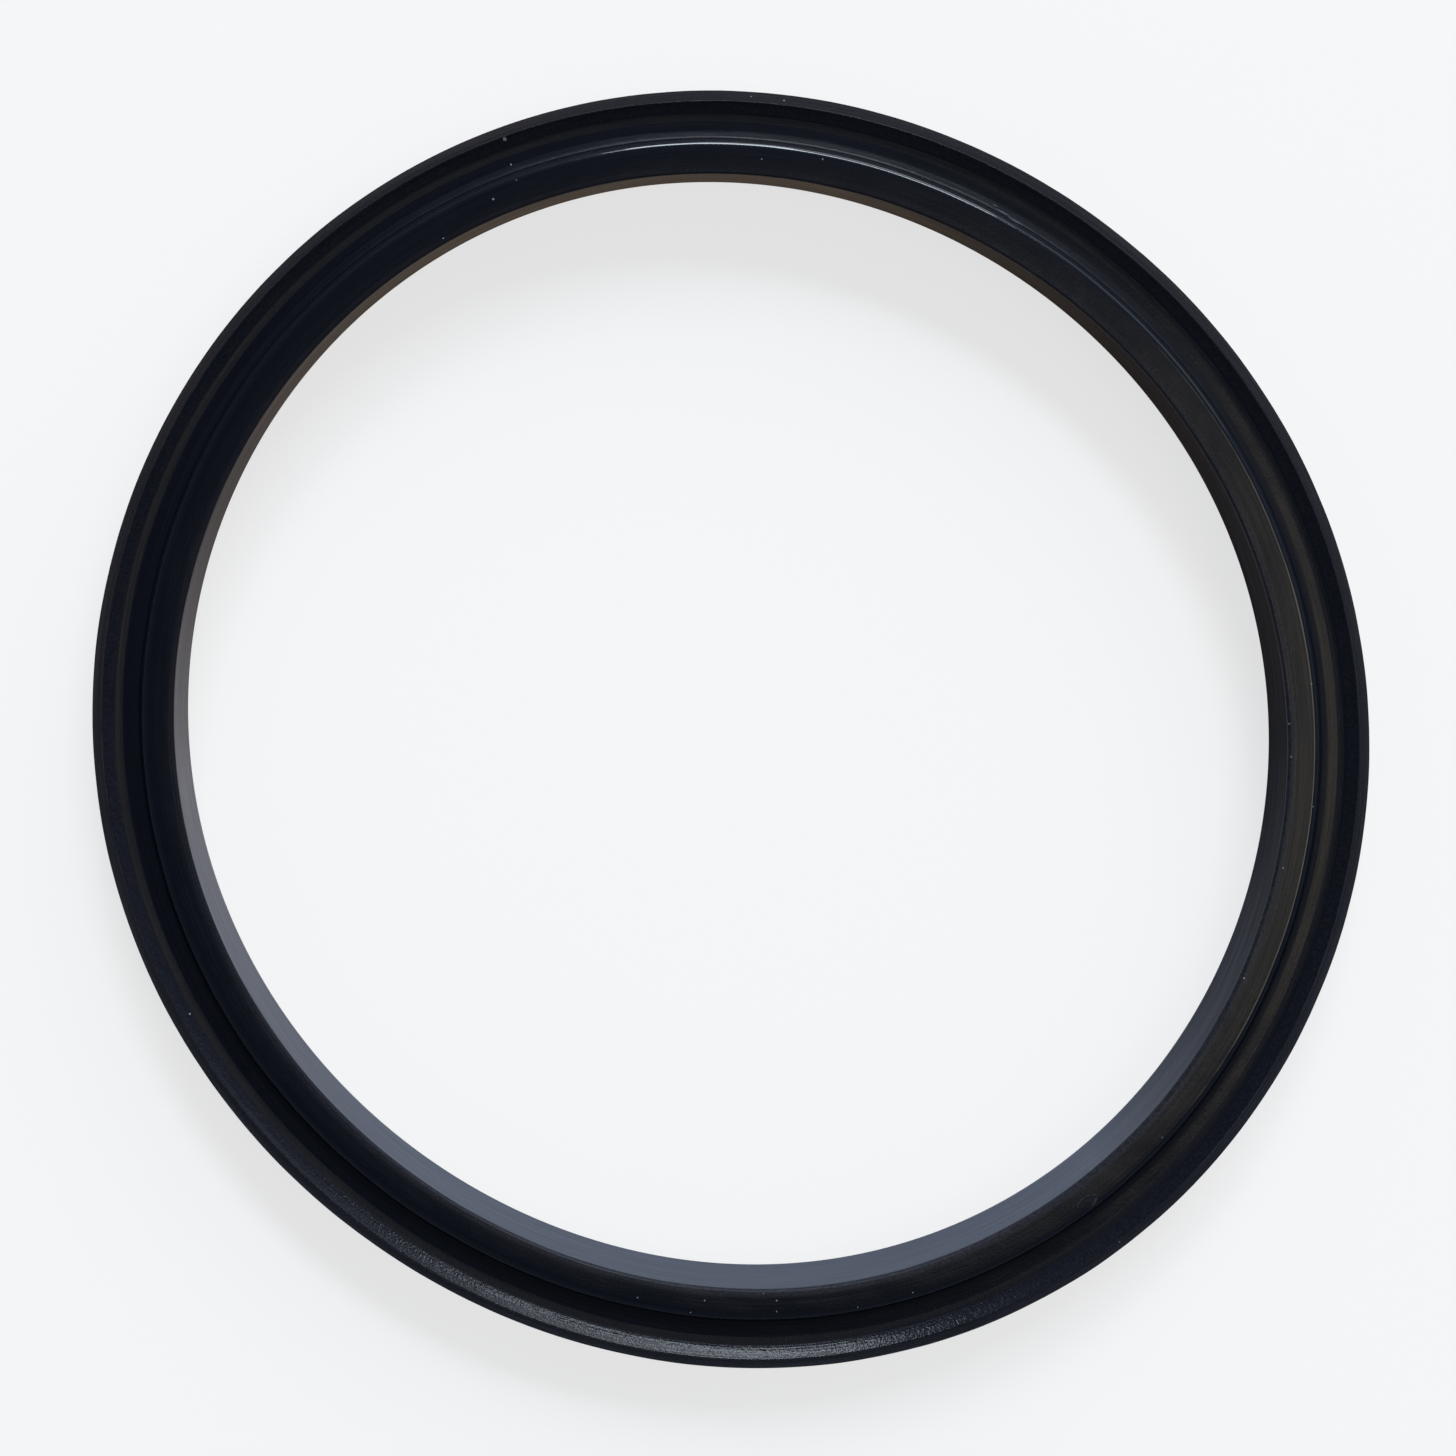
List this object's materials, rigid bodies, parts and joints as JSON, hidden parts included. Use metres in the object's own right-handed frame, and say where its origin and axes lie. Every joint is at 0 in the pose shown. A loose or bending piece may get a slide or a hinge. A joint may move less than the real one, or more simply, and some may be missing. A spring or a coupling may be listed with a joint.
{
  "type": "pump guide vane gasket",
  "caption": "Round moulded rubber sealing ring with a raised flat-topped inner leg, a shallow channel and a bevelled outer lip.",
  "frame": {"origin": "on the ring's axis, level with its flat underside", "axes": "+Z along the ring's axis, from the underside towards the leg's flat top; +X and +Y lie across the ring, +Y towards the upper side in the picture"},
  "size_m": [0.13, 0.13, 0.01],
  "materials": {
    "moulded_rubber": "satin moulded rubber"
  },
  "bodies": {
    "root": {"gasket_ring": "moulded_rubber"}
  },
  "joints": []
}
